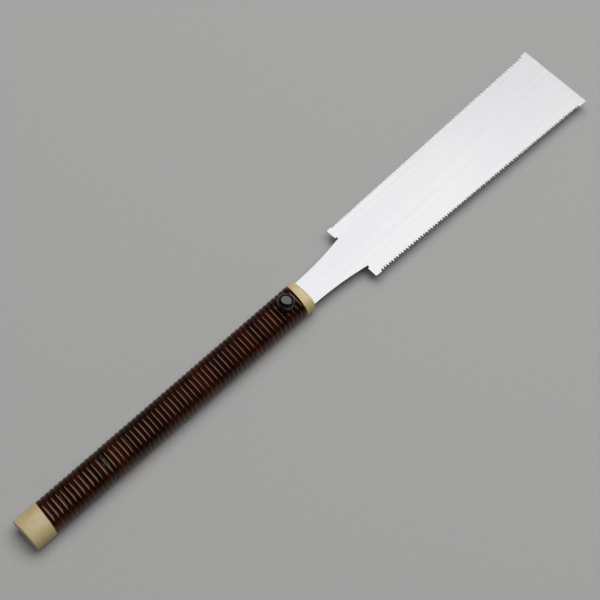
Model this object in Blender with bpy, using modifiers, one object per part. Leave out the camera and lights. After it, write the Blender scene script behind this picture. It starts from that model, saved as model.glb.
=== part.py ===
"""A double-edged pull saw: a cane-bound handle with a detachable blade held by a clamp knob.

Metres, +Z up. The saw lies on its side: +X runs from the butt of the handle to the tip of the blade, and the
blade lies flat. The origin is under the middle of the whole saw, at the level of the surface that it lies on.
Distances along the saw are measured from the butt, and heights from the blade's middle plane.
"""

import math

import bmesh
import bpy

# Whole saw
TOTAL_LENGTH = 0.645
GAP = 0.0003  # clearance between neighbouring pieces

# Handle: a rounded oval of constant section
HANDLE_WIDTH = 0.0316
HANDLE_THICKNESS = 0.0216
OVAL_EXPONENT = 2.5  # 2 is an ellipse, more is squarer
OVAL_POINTS = 48
CANE_THICKNESS = 0.0015
CAP_LENGTH = 0.0220
CAP_FLOOR = 0.0042
FERRULE_BACK = 0.3067
FERRULE_FRONT = 0.3153
FERRULE_WALL = 0.0026
JOINT_LEAN = math.radians(5.4)  # the cane meets the cap and the ferrule at its own winding angle
CAP_ROUNDING = 0.0012
FERRULE_ROUNDING = 0.0018
TENON_WIDTH = 0.0250
TENON_THICKNESS = 0.0156

# Blade
BLADE_THICKNESS = 0.0005
HEEL = 0.3744
HEEL_WIDTH = 0.0626
TIP_WIDTH = 0.0769
NECK_START = 0.3160
NECK_WIDTH = 0.0264
NECK_FLARE_RADIUS = 0.332
NOTCH_RADIUS = 0.0013
NOTCH_PLACE = (0.3752, 0.0196)  # centre of the stress-relief notch at the heel
TANG_END = 0.2680
TANG_WIDTH = 0.0170
TANG_SHOULDER = 0.3060
TANG_SHOULDER_LENGTH = 0.0065
TANG_SLOT_WIDTH = 0.0060

# Teeth: fine cross-cut teeth on the -Y edge, graded rip teeth on the +Y edge
CROSSCUT_PITCH = 0.00304
CROSSCUT_DEPTH = 0.0027
CROSSCUT_FLATS = (0.0067, 0.0086)  # toothless lengths at the heel and at the tip
RIP_PITCH_HEEL = 0.0026
RIP_PITCH_TIP = 0.0041
RIP_DEPTH_PER_PITCH = 0.68
RIP_GULLET_PLACE = 0.86  # part of the pitch between a tooth's point and the gullet behind it
RIP_FLATS = (0.0044, 0.0079)

# Clamp: a knob and stud that draw the holder together on the tang
KNOB_PLACE = 0.2942
KNOB_RADIUS = 0.0080
KNOB_BASE_RADIUS = 0.0071
KNOB_BASE = 0.0115
KNOB_SKIRT = 0.0018
KNOB_DOME = 0.0072
DOME_EXPONENT = 2.7  # flatter on top than a ball
STUD_RADIUS = 0.0025
STUD_TOP = 0.0162
STUD_BOTTOM = -0.0066
STUD_CHAMFER = 0.0005
NUT_SIDE = 0.0080
NUT_THICKNESS = 0.0040
BUSH_RADIUS = 0.0042
FLANGE_RADIUS = 0.0064
FLANGE_BASE = 0.0083
FLANGE_THICKNESS = 0.0016
WASHER_RADIUS = 0.0060
WASHER_BASE = 0.0102
WASHER_THICKNESS = 0.0010
ROUND_STEPS = 32
SMALL_ROUND_STEPS = 16

# Holder: two riveted steel plates that the tang slides between
HOLDER_BACK = 0.2580
HOLDER_FRONT = 0.3045
HOLDER_WIDTH = 0.0238
PLATE_THICKNESS = 0.0012
SPACER_WIDTH = 0.0031
RIVET_PLACES = (0.2700, 0.3000)
RIVET_RADIUS = 0.0009
RIVET_HEAD_RADIUS = 0.0017
RIVET_HEAD = 0.0006
GUIDE_PIN_PLACE = 0.2800
GUIDE_PIN_RADIUS = 0.0022
SCREW_PLACE = 0.2625
SCREW_SPREAD = 0.0050  # from the middle to each of the two screws
SCREW_RADIUS = 0.0013
SCREW_HEAD_RADIUS = 0.0026
SCREW_HEAD = 0.0013
SCREW_BOTTOM = -0.0070

HALF_LENGTH = TOTAL_LENGTH / 2
MIDDLE = HANDLE_THICKNESS / 2  # height of the blade's plane above the surface
PLATE_BASE = BLADE_THICKNESS / 2 + GAP
PLATE_TOP = PLATE_BASE + PLATE_THICKNESS
SPACER_OFFSET = (HOLDER_WIDTH - SPACER_WIDTH) / 2
CORE_WIDTH = HANDLE_WIDTH - 2 * (CANE_THICKNESS + GAP)
CORE_THICKNESS = HANDLE_THICKNESS - 2 * (CANE_THICKNESS + GAP)
FAR = 0.05  # how far a cutter reaches past what it cuts
MERGE = 0.00001
FLAT_ANGLE = 0.001  # faces that turn less than this are one flat face

parts = bpy.data.collections.new("pull_saw")
cutters = bpy.data.collections.new("pull_saw_cutters")


def clear_scene():
    for obj in list(bpy.data.objects):
        bpy.data.objects.remove(obj, do_unlink=True)
    bpy.context.scene.collection.children.link(parts)
    bpy.context.scene.collection.children.link(cutters)
    cutters.hide_render = True


def along(distance):
    """The X of a place at this distance from the butt."""
    return distance - HALF_LENGTH


def material(name, colour, roughness, metallic=0.0):
    made = bpy.data.materials.get(name) or bpy.data.materials.new(name)
    made.use_nodes = True
    shader = made.node_tree.nodes["Principled BSDF"]
    shader.inputs["Base Color"].default_value = (*colour, 1.0)
    shader.inputs["Roughness"].default_value = roughness
    shader.inputs["Metallic"].default_value = metallic
    return made


def ivory_resin():
    return material("ivory_resin", (0.62, 0.54, 0.32), 0.35)


def lacquered_cane():
    return material("lacquered_cane", (0.055, 0.012, 0.006), 0.3)


def core_wood():
    return material("core_wood", (0.55, 0.38, 0.22), 0.6)


def blade_steel():
    return material("blade_steel", (0.78, 0.79, 0.81), 0.28, 1.0)


def zinc_steel():
    return material("zinc_steel", (0.6, 0.6, 0.6), 0.35, 1.0)


def brass():
    return material("brass", (0.72, 0.55, 0.25), 0.3, 1.0)


def black_resin():
    return material("black_resin", (0.012, 0.012, 0.013), 0.12)


# Shapes


def flat_solid(name, outlines, thickness):
    """A solid of this thickness about its own XY plane. The first outline is its edge, the rest are holes."""
    curve = bpy.data.curves.new(name, "CURVE")
    curve.dimensions = "2D"
    curve.fill_mode = "BOTH"
    curve.extrude = thickness / 2
    for outline in outlines:
        spline = curve.splines.new("POLY")
        spline.points.add(len(outline) - 1)
        for point, (x, y) in zip(spline.points, outline):
            point.co = (x, y, 0, 1)
        spline.use_cyclic_u = True
    drawn = bpy.data.objects.new(name + "_outline", curve)
    bpy.context.scene.collection.objects.link(drawn)
    graph = bpy.context.evaluated_depsgraph_get()
    mesh = bpy.data.meshes.new_from_object(drawn.evaluated_get(graph))
    mesh.name = name
    bpy.data.objects.remove(drawn)
    bpy.data.curves.remove(curve)
    work = bmesh.new()
    work.from_mesh(mesh)
    bmesh.ops.remove_doubles(work, verts=work.verts, dist=MERGE / 10)
    bmesh.ops.recalc_face_normals(work, faces=work.faces)
    work.to_mesh(mesh)
    work.free()
    return bpy.data.objects.new(name, mesh)


def turned(name, profile, steps=ROUND_STEPS, closed=False):
    """A solid turned about its own Z axis. The (radius, height) points run down its outer side."""
    edges = [(i, i + 1) for i in range(len(profile) - 1)]
    if closed:
        edges.append((len(profile) - 1, 0))
    mesh = bpy.data.meshes.new(name)
    mesh.from_pydata([(radius, 0, height) for radius, height in profile], edges, [])
    obj = bpy.data.objects.new(name, mesh)
    screw = obj.modifiers.new("turn", "SCREW")
    screw.axis = "Z"
    screw.steps = steps
    screw.render_steps = steps
    screw.use_merge_vertices = True
    screw.merge_threshold = MERGE
    screw.use_smooth_shade = True
    return obj


def round_cutter(name, distance, offset, radius, bottom, top):
    """A cylinder that cuts a hole between two heights."""
    profile = [(0, top), (radius, top), (radius, bottom), (0, bottom)]
    made = turned(name, profile, SMALL_ROUND_STEPS)
    made.location = (along(distance), offset, MIDDLE)
    return as_cutter(made)


def box(name, low, high):
    """A box between two corners, each a distance from the butt, a Y and a height."""
    bpy.ops.mesh.primitive_cube_add(size=1)
    made = bpy.context.active_object
    made.name = name
    for collection in list(made.users_collection):
        collection.objects.unlink(made)
    middle = [(a + b) / 2 for a, b in zip(low, high)]
    made.location = (along(middle[0]), middle[1], MIDDLE + middle[2])
    made.scale = [b - a for a, b in zip(low, high)]
    return made


def squared(cosine, exponent):
    """A superellipse's coordinate, as a share of its half width, from a circle's."""
    return math.copysign(abs(cosine) ** (2 / exponent), cosine)


def oval(width, thickness):
    """Points round a superellipse, which has a facet and not a corner in the middle of each side."""
    widest = squared(math.cos(math.pi / OVAL_POINTS), OVAL_EXPONENT)
    points = []
    for i in range(OVAL_POINTS):
        angle = 2 * math.pi * (i + 0.5) / OVAL_POINTS
        y = squared(math.cos(angle), OVAL_EXPONENT) / widest * width / 2
        z = squared(math.sin(angle), OVAL_EXPONENT) / widest * thickness / 2
        points.append((y, z))
    return points


def oval_bar(name, width, thickness, start, end):
    """A bar of the handle's kind of section, between two distances from the butt."""
    bar = flat_solid(name, [oval(width, thickness)], end - start)
    work = bmesh.new()
    work.from_mesh(bar.data)
    bmesh.ops.dissolve_limit(work, angle_limit=FLAT_ANGLE, verts=work.verts, edges=work.edges)
    work.to_mesh(bar.data)
    work.free()
    bar.rotation_euler = (math.pi / 2, 0, math.pi / 2)
    bar.location = (along((start + end) / 2), 0, MIDDLE)
    bar.data.shade_smooth()
    bar.data.set_sharp_from_angle(angle=math.radians(40))
    return bar


def circle(x, y, radius, steps=SMALL_ROUND_STEPS):
    turns = [2 * math.pi * i / steps for i in range(steps)]
    return [(x + radius * math.cos(turn), y + radius * math.sin(turn)) for turn in turns]


def rectangle(x0, x1, y0, y1):
    return [(x0, y0), (x1, y0), (x1, y1), (x0, y1)]


def arc(centre, radius, start, end, steps):
    """Points along an arc between two angles in degrees."""
    points = []
    for i in range(steps + 1):
        angle = math.radians(start + (end - start) * i / steps)
        points.append((centre[0] + radius * math.cos(angle), centre[1] + radius * math.sin(angle)))
    return points


# Placing and joining


def as_part(obj, finish, body):
    """Puts a finished piece in the saw's collection, with its material, under the empty that carries it."""
    parts.objects.link(obj)
    obj.data.materials.clear()
    obj.data.materials.append(finish)
    bpy.context.view_layer.update()
    placed = obj.matrix_world.copy()
    obj.parent = body
    obj.matrix_world = placed
    return obj


def as_cutter(obj):
    cutters.objects.link(obj)
    obj.hide_render = True
    obj.display_type = "WIRE"
    return obj


def join_or_cut(obj, others, operation="DIFFERENCE"):
    for other in others:
        step = obj.modifiers.new(operation.lower() + "_" + other.name, "BOOLEAN")
        step.operation = operation
        step.solver = "EXACT"
        step.object = other


def leaning_cutter(name, distance, side):
    """Everything on one side of a joint that leans with the cane and crosses the middle at this distance."""
    made = box(name, (distance - FAR / 2, -FAR / 2, -FAR / 2), (distance + FAR / 2, FAR / 2, FAR / 2))
    made.location.x += side * FAR / 2 / math.cos(JOINT_LEAN)
    made.rotation_euler.z = -JOINT_LEAN
    return as_cutter(made)


def rounded_rims(obj, width):
    """Rounds the rims at the two ends of an oval bar."""
    bevel = obj.modifiers.new("rims", "BEVEL")
    bevel.width = width
    bevel.segments = 3
    bevel.limit_method = "ANGLE"
    bevel.angle_limit = math.radians(50)


def body_empty(name, location, parent=None):
    empty = bpy.data.objects.new(name, None)
    empty.empty_display_size = 0.02
    parts.objects.link(empty)
    empty.location = location
    if parent:
        bpy.context.view_layer.update()
        empty.parent = parent
        empty.matrix_parent_inverse = parent.matrix_world.inverted()
    return empty


# Blade


def toothed_edge(side, marks):
    """The edge's points from the heel's corner to the tip's, from (distance along the edge, depth) marks."""
    heel = (HEEL, side * HEEL_WIDTH / 2)
    tip = (TOTAL_LENGTH, side * TIP_WIDTH / 2)
    length = math.dist(heel, tip)
    run = ((tip[0] - heel[0]) / length, (tip[1] - heel[1]) / length)
    inward = (side * run[1], -side * run[0])
    points = []
    for distance, depth in [(0, 0), *marks(length), (length, 0)]:
        x = heel[0] + run[0] * distance + inward[0] * depth
        y = heel[1] + run[1] * distance + inward[1] * depth
        points.append((along(x), y))
    return points


def crosscut_marks(length):
    first, last = CROSSCUT_FLATS
    count = round((length - first - last) / CROSSCUT_PITCH)
    pitch = (length - first - last) / count
    marks = [(first, 0)]
    for i in range(count):
        marks.append((first + (i + 0.5) * pitch, CROSSCUT_DEPTH))
        marks.append((first + (i + 1) * pitch, 0))
    return marks


def rip_marks(length):
    first, last = RIP_FLATS
    place = first
    marks = [(place, 0)]
    while place < length - last:
        pitch = RIP_PITCH_HEEL + (RIP_PITCH_TIP - RIP_PITCH_HEEL) * place / length
        marks.append((place + RIP_GULLET_PLACE * pitch, RIP_DEPTH_PER_PITCH * pitch))
        place += pitch
        marks.append((place, 0))
    return marks


def neck_edge(side):
    """The +Y or -Y side of the tang and the neck, from the tang's end to the notch at the heel."""
    tang = TANG_WIDTH / 2
    neck = NECK_WIDTH / 2
    points = [(TANG_END, tang)]
    steps = 8
    for i in range(steps + 1):
        rise = (1 - math.cos(math.pi * i / steps)) / 2
        points.append((TANG_SHOULDER + TANG_SHOULDER_LENGTH * i / steps, tang + (neck - tang) * rise))
    steps = 14
    for i in range(steps + 1):
        run = (HEEL - NECK_START) * i / steps
        flare = NECK_FLARE_RADIUS - math.sqrt(NECK_FLARE_RADIUS**2 - run**2)
        points.append((NECK_START + run, neck + flare))
    points += arc(NOTCH_PLACE, NOTCH_RADIUS, -112, 124, 10)
    return [(along(x), side * y) for x, y in points]


def tang_slot():
    """The slot that lets the tang slide past the clamp stud, open at the tang's end."""
    half = TANG_SLOT_WIDTH / 2
    rounded = arc((along(KNOB_PLACE), 0), half, 90, -90, 12)
    return [(along(TANG_END), half), *rounded, (along(TANG_END), -half)]


def saw_blade(body):
    lower = neck_edge(-1) + toothed_edge(-1, crosscut_marks)
    upper = neck_edge(1) + toothed_edge(1, rip_marks)
    outline = lower + upper[::-1] + tang_slot()
    blade = flat_solid("saw_blade", [outline], BLADE_THICKNESS)
    blade.location.z = MIDDLE
    return as_part(blade, blade_steel(), body)


# Handle


def butt_cap(body):
    cap = oval_bar("butt_cap", HANDLE_WIDTH, HANDLE_THICKNESS, 0, CAP_LENGTH + HANDLE_WIDTH / 2)
    rounded_rims(cap, CAP_ROUNDING)
    socket = oval_bar("cap_socket", TENON_WIDTH + 2 * GAP, TENON_THICKNESS + 2 * GAP, CAP_FLOOR, FAR)
    end = leaning_cutter("cap_end", CAP_LENGTH, 1)
    join_or_cut(cap, [end, as_cutter(socket)])
    return as_part(cap, ivory_resin(), body)


def ferrule(body):
    ring = oval_bar(
        "ferrule", HANDLE_WIDTH, HANDLE_THICKNESS, FERRULE_BACK - HANDLE_WIDTH / 2, FERRULE_FRONT
    )
    rounded_rims(ring, FERRULE_ROUNDING)
    floor = FERRULE_FRONT - FERRULE_WALL
    socket = oval_bar(
        "ferrule_socket", TENON_WIDTH + 2 * GAP, TENON_THICKNESS + 2 * GAP, floor - FAR, floor
    )
    mouth = BLADE_THICKNESS / 2 + GAP
    side = NECK_WIDTH / 2 + GAP
    slot = box("ferrule_mouth", (floor - FAR, -side, -mouth), (floor + FAR, side, mouth))
    end = leaning_cutter("ferrule_end", FERRULE_BACK, -1)
    join_or_cut(ring, [end, as_cutter(socket), as_cutter(slot)])
    return as_part(ring, ivory_resin(), body)


def cane_wrap(body):
    start, end = CAP_LENGTH - HANDLE_WIDTH / 2, FERRULE_BACK + HANDLE_WIDTH / 2
    wrap = oval_bar("cane_wrap", HANDLE_WIDTH, HANDLE_THICKNESS, start, end)
    inside = oval_bar(
        "wrap_inside", CORE_WIDTH + 2 * GAP, CORE_THICKNESS + 2 * GAP, start - FAR, end + FAR
    )
    knob_hole = round_cutter("knob_hole", KNOB_PLACE, 0, FLANGE_RADIUS + GAP, FLANGE_BASE / 2, FAR)
    ends = [
        leaning_cutter("wrap_back", CAP_LENGTH + GAP, -1),
        leaning_cutter("wrap_front", FERRULE_BACK - GAP, 1),
    ]
    join_or_cut(wrap, [as_cutter(inside), *ends, knob_hole])
    return as_part(wrap, lacquered_cane(), body)


def holder_cutters():
    """The room that both halves of the core leave for the holder and the neck of the blade."""
    side = HOLDER_WIDTH / 2 + GAP
    deep = PLATE_TOP + GAP
    pocket = box("holder_pocket", (HOLDER_BACK - GAP, -side, -deep), (HOLDER_FRONT + GAP, side, deep))
    side = NECK_WIDTH / 2 + GAP
    mouth = BLADE_THICKNESS / 2 + GAP
    neck = box("neck_room", (HOLDER_FRONT, -side, -mouth), (FERRULE_FRONT + FAR, side, mouth))
    room = [as_cutter(pocket), as_cutter(neck)]
    head = PLATE_TOP + RIVET_HEAD + 2 * GAP
    for distance in RIVET_PLACES:
        for side in (-1, 1):
            name = f"rivet_room_{len(room) - 1}"
            offset = side * SPACER_OFFSET
            room.append(round_cutter(name, distance, offset, RIVET_HEAD_RADIUS + GAP, -head, head))
    return room


def core_half(name, side, room, others, body):
    """One half of the wooden core: +1 is the upper half, and -1 the lower."""
    half = oval_bar(name, CORE_WIDTH, CORE_THICKNESS, CAP_LENGTH - GAP, FERRULE_BACK + GAP)
    tenon_start = CAP_FLOOR + GAP
    tenon_end = FERRULE_FRONT - FERRULE_WALL - GAP
    tenon = oval_bar(name + "_tenon", TENON_WIDTH, TENON_THICKNESS, tenon_start, tenon_end)
    ends = [
        leaning_cutter(name + "_back", CAP_LENGTH + 2 * GAP, -1),
        leaning_cutter(name + "_front", FERRULE_BACK - 2 * GAP, 1),
    ]
    low, high = (-FAR, GAP / 2) if side > 0 else (-GAP / 2, FAR)
    far_half = box(name + "_split", (-FAR, -FAR, low), (FERRULE_FRONT + FAR, FAR, high))
    join_or_cut(half, ends)
    join_or_cut(half, [as_cutter(tenon)], "UNION")
    join_or_cut(half, [*room, *others, as_cutter(far_half)])
    return as_part(half, core_wood(), body)


def bush_seat():
    """A cutter for the bush: a hole right through, and a wider seat for its flange above."""
    hole = BUSH_RADIUS + GAP
    seat = FLANGE_RADIUS + GAP
    shelf = FLANGE_BASE - GAP
    profile = [(0, FAR), (seat, FAR), (seat, shelf), (hole, shelf), (hole, 0), (0, 0)]
    made = turned("bush_seat", profile, SMALL_ROUND_STEPS)
    made.location = (along(KNOB_PLACE), 0, MIDDLE)
    return as_cutter(made)


def core_halves(body):
    room = holder_cutters()
    upper = [bush_seat()]
    nut_room = NUT_SIDE / 2 + GAP
    nut_bottom = PLATE_TOP + NUT_THICKNESS + 2 * GAP
    pocket = box(
        "nut_pocket",
        (KNOB_PLACE - nut_room, -nut_room, -nut_bottom),
        (KNOB_PLACE + nut_room, nut_room, nut_room),
    )
    lower = [
        as_cutter(pocket),
        round_cutter("stud_room", KNOB_PLACE, 0, STUD_RADIUS + GAP, STUD_BOTTOM - GAP, FAR),
    ]
    head = PLATE_TOP + SCREW_HEAD + 2 * GAP
    for side in (-1, 1):
        offset = side * SCREW_SPREAD
        name = f"screw_head_room_{side + 1}"
        upper.append(round_cutter(name, SCREW_PLACE, offset, SCREW_HEAD_RADIUS + GAP, -FAR, head))
        name = f"screw_hole_{side + 1}"
        lower.append(round_cutter(name, SCREW_PLACE, offset, SCREW_RADIUS + GAP, SCREW_BOTTOM - GAP, FAR))
    core_half("handle_core_top", 1, room, upper, body)
    core_half("handle_core_bottom", -1, room, lower, body)


# Holder inside the handle


def holder_plate(name, side, body):
    x0, x1 = along(HOLDER_BACK), along(HOLDER_FRONT)
    holes = [
        circle(along(KNOB_PLACE), 0, STUD_RADIUS + GAP),
        circle(along(GUIDE_PIN_PLACE), 0, GUIDE_PIN_RADIUS + GAP),
    ]
    for sign in (-1, 1):
        holes.append(circle(along(SCREW_PLACE), sign * SCREW_SPREAD, SCREW_RADIUS + GAP))
        for distance in RIVET_PLACES:
            holes.append(circle(along(distance), sign * SPACER_OFFSET, RIVET_RADIUS + GAP))
    edge = rectangle(x0, x1, -HOLDER_WIDTH / 2, HOLDER_WIDTH / 2)
    plate = flat_solid(name, [edge, *holes], PLATE_THICKNESS)
    plate.location.z = MIDDLE + side * (PLATE_BASE + PLATE_THICKNESS / 2)
    return as_part(plate, zinc_steel(), body)


def holder_spacer(name, side, body):
    middle = side * SPACER_OFFSET
    half = SPACER_WIDTH / 2
    edge = rectangle(along(HOLDER_BACK), along(HOLDER_FRONT), middle - half, middle + half)
    holes = [circle(along(distance), middle, RIVET_RADIUS + GAP) for distance in RIVET_PLACES]
    spacer = flat_solid(name, [edge, *holes], BLADE_THICKNESS)
    spacer.location.z = MIDDLE
    return as_part(spacer, zinc_steel(), body)


def pin_head(head_radius, head, radius):
    """The top of a pin's profile: a head that rests on the upper plate, down to where the shaft begins."""
    top = PLATE_TOP + GAP
    corner = head / 3
    profile = [(0, top + head), (head_radius - corner, top + head), (head_radius, top + head - corner)]
    return profile + [(head_radius, top), (radius, top)]


def holder_rivet(number, distance, side, body):
    upper = pin_head(RIVET_HEAD_RADIUS, RIVET_HEAD, RIVET_RADIUS)
    lower = [(radius, -height) for radius, height in reversed(upper)]
    rivet = turned(f"holder_rivet_{number}", upper + lower, SMALL_ROUND_STEPS)
    rivet.location = (along(distance), side * SPACER_OFFSET, MIDDLE)
    return as_part(rivet, zinc_steel(), body)


def holder_screw(name, side, body):
    tip = SCREW_BOTTOM + 2 * SCREW_RADIUS
    profile = pin_head(SCREW_HEAD_RADIUS, SCREW_HEAD, SCREW_RADIUS) + [(SCREW_RADIUS, tip), (0, SCREW_BOTTOM)]
    screw = turned(name, profile, SMALL_ROUND_STEPS)
    screw.location = (along(SCREW_PLACE), side * SCREW_SPREAD, MIDDLE)
    return as_part(screw, zinc_steel(), body)


def holder_fasteners(body):
    """Four rivets through the plates and spacers, and two wood screws into the lower half of the core."""
    number = 0
    for distance in RIVET_PLACES:
        for side in (-1, 1):
            number += 1
            holder_rivet(number, distance, side, body)
    holder_screw("holder_screw_right", -1, body)
    holder_screw("holder_screw_left", 1, body)


def guide_pin(body):
    """A dowel in the plates that the tang's slot straddles, so that the blade stays straight."""
    top = PLATE_TOP
    inner = GUIDE_PIN_RADIUS - STUD_CHAMFER
    side = top - STUD_CHAMFER
    profile = [(0, top), (inner, top), (GUIDE_PIN_RADIUS, side)]
    profile += [(radius, -height) for radius, height in reversed(profile)]
    pin = turned("guide_pin", profile, SMALL_ROUND_STEPS)
    pin.location = (along(GUIDE_PIN_PLACE), 0, MIDDLE)
    return as_part(pin, zinc_steel(), body)


# Clamp


def clamp_nut(body):
    x = along(KNOB_PLACE)
    half = NUT_SIDE / 2
    outlines = [rectangle(x - half, x + half, -half, half), circle(x, 0, STUD_RADIUS + GAP)]
    nut = flat_solid("clamp_nut", outlines, NUT_THICKNESS)
    nut.location.z = MIDDLE - PLATE_TOP - GAP - NUT_THICKNESS / 2
    return as_part(nut, zinc_steel(), body)


def knob_bush(body):
    """A flanged bush in the upper half of the core, which the stud passes through."""
    bore = STUD_RADIUS + GAP
    top = FLANGE_BASE + FLANGE_THICKNESS
    bottom = PLATE_TOP + GAP
    profile = [(bore, top), (FLANGE_RADIUS, top), (FLANGE_RADIUS, FLANGE_BASE), (BUSH_RADIUS, FLANGE_BASE)]
    profile += [(BUSH_RADIUS, bottom), (bore, bottom)]
    bush = turned("knob_bush", profile, closed=True)
    bush.location = (along(KNOB_PLACE), 0, MIDDLE)
    return as_part(bush, brass(), body)


def clamp_washer(body):
    bore = STUD_RADIUS + GAP
    top = WASHER_BASE + WASHER_THICKNESS
    profile = [(bore, top), (WASHER_RADIUS, top), (WASHER_RADIUS, WASHER_BASE), (bore, WASHER_BASE)]
    washer = turned("clamp_washer", profile, closed=True)
    washer.location = (along(KNOB_PLACE), 0, MIDDLE)
    return as_part(washer, zinc_steel(), body)


def clamp_knob(body):
    steps = 10
    waist = KNOB_BASE + KNOB_SKIRT
    profile = []
    for i in range(steps + 1):
        angle = math.pi / 2 * i / steps
        radius = KNOB_RADIUS * squared(math.sin(angle), DOME_EXPONENT)
        height = KNOB_DOME * squared(max(math.cos(angle), 0), DOME_EXPONENT)
        profile.append((radius, waist + height))
    steps = 3
    for i in range(1, steps + 1):
        angle = math.pi / 2 * i / steps
        radius = KNOB_BASE_RADIUS + (KNOB_RADIUS - KNOB_BASE_RADIUS) * math.cos(angle)
        profile.append((radius, waist - KNOB_SKIRT * math.sin(angle)))
    bore = STUD_RADIUS + GAP
    profile += [(bore, KNOB_BASE), (bore, STUD_TOP + GAP), (0, STUD_TOP + GAP)]
    knob = turned("clamp_knob", profile)
    knob.location = (along(KNOB_PLACE), 0, MIDDLE)
    return as_part(knob, black_resin(), body)


def clamp_stud(body):
    inner = STUD_RADIUS - STUD_CHAMFER
    profile = [(0, STUD_TOP), (inner, STUD_TOP), (STUD_RADIUS, STUD_TOP - STUD_CHAMFER)]
    profile += [(STUD_RADIUS, STUD_BOTTOM + STUD_CHAMFER), (inner, STUD_BOTTOM), (0, STUD_BOTTOM)]
    stud = turned("clamp_stud", profile, SMALL_ROUND_STEPS)
    stud.location = (along(KNOB_PLACE), 0, MIDDLE)
    return as_part(stud, zinc_steel(), body)


def build():
    clear_scene()
    handle = body_empty("handle_body", (0, 0, 0))
    blade = body_empty("blade_body", (0, 0, MIDDLE), handle)
    knob_axis = (along(KNOB_PLACE), 0, MIDDLE)
    lift = body_empty("clamp_lift_body", knob_axis, handle)
    screw = body_empty("clamp_screw_body", knob_axis, lift)

    butt_cap(handle)
    core_halves(handle)
    cane_wrap(handle)
    ferrule(handle)
    holder_plate("holder_plate_top", 1, handle)
    holder_plate("holder_plate_bottom", -1, handle)
    holder_spacer("holder_spacer_left", 1, handle)
    holder_spacer("holder_spacer_right", -1, handle)
    holder_fasteners(handle)
    guide_pin(handle)
    clamp_nut(handle)
    knob_bush(handle)
    saw_blade(blade)
    clamp_washer(lift)
    clamp_knob(screw)
    clamp_stud(screw)


build()
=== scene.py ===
"""The looks of the pull saw: cane-bound handle, cream resin ends, black clamp knob and double-edged blade.

Metres, in the CAD's frame. Distances along the saw are measured from the butt, and heights from the blade's
middle plane, as in the CAD.
"""

import math
import random

import bmesh
import bpy
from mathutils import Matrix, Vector


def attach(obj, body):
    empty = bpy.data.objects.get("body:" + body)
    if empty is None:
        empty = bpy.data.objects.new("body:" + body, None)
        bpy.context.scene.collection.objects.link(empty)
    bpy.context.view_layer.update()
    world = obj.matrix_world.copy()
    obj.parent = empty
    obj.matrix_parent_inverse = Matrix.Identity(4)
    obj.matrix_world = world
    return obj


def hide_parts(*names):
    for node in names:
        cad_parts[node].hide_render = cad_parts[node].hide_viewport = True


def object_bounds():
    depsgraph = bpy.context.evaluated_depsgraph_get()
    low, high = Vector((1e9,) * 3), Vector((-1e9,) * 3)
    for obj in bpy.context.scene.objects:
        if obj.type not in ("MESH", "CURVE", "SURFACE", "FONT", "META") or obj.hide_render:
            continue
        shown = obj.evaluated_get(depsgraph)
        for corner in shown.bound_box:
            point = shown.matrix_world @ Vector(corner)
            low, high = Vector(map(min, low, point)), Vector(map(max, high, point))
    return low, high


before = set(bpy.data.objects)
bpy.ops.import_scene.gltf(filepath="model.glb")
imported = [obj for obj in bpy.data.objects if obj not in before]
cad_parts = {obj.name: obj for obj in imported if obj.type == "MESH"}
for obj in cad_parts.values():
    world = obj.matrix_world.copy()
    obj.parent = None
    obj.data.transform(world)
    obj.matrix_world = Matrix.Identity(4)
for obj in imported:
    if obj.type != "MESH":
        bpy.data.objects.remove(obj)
cad_low, cad_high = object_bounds()

# Sizes that the CAD has too
HANDLE_WIDTH = 0.0316
HANDLE_THICKNESS = 0.0216
OVAL_EXPONENT = 2.5  # 2 is an ellipse, more is squarer
CAP_LENGTH = 0.0220
CAP_FLOOR = 0.0042
CAP_ROUNDING = 0.0012
FERRULE_BACK = 0.3067
FERRULE_FRONT = 0.3153
FERRULE_WALL = 0.0026
FERRULE_ROUNDING = 0.0018
JOINT_LEAN = math.tan(math.radians(5.4))  # slope of the joints with the cane across the handle
TENON_WIDTH = 0.0250
TENON_THICKNESS = 0.0156
GAP = 0.0003  # clearance between neighbouring pieces
BLADE_THICKNESS = 0.0005
HEEL = 0.3744
HEEL_WIDTH = 0.0626
TIP_WIDTH = 0.0769
NECK_START = 0.3160
NECK_WIDTH = 0.0264
NECK_FLARE_RADIUS = 0.332
NOTCH_RADIUS = 0.0013
NOTCH_PLACE = (0.3752, 0.0196)  # centre of the notch at the heel
NOTCH_SPAN = (-112, 124)  # where its arc starts on the neck and ends on the heel, in degrees
TANG_END = 0.2680
TANG_WIDTH = 0.0170
TANG_SHOULDER = 0.3060
TANG_SHOULDER_LENGTH = 0.0065
TANG_SLOT_WIDTH = 0.0060
CROSSCUT_PITCH = 0.00304
CROSSCUT_DEPTH = 0.0027
CROSSCUT_FLATS = (0.0067, 0.0086)  # toothless lengths at the heel and at the tip
RIP_PITCH_HEEL = 0.0026
RIP_PITCH_TIP = 0.0041
RIP_DEPTH_PER_PITCH = 0.68
RIP_GULLET_PLACE = 0.86  # share of the pitch from a tooth's point to the gullet after it
RIP_FLATS = (0.0044, 0.0079)
KNOB_PLACE = 0.2942
KNOB_RADIUS = 0.0080
KNOB_BASE_RADIUS = 0.0071
KNOB_BASE = 0.0115
KNOB_SKIRT = 0.0018
KNOB_DOME = 0.0072
STUD_RADIUS = 0.0025
STUD_TOP = 0.0162
STUD_BOTTOM = -0.0066
STUD_CHAMFER = 0.0005
BUSH_RADIUS = 0.0042
BUSH_BOTTOM = 0.00205  # a gap above the holder's upper plate
FLANGE_RADIUS = 0.0064
FLANGE_BASE = 0.0083
FLANGE_THICKNESS = 0.0016
WASHER_RADIUS = 0.0060
WASHER_BASE = 0.0102
WASHER_THICKNESS = 0.0010

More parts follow.
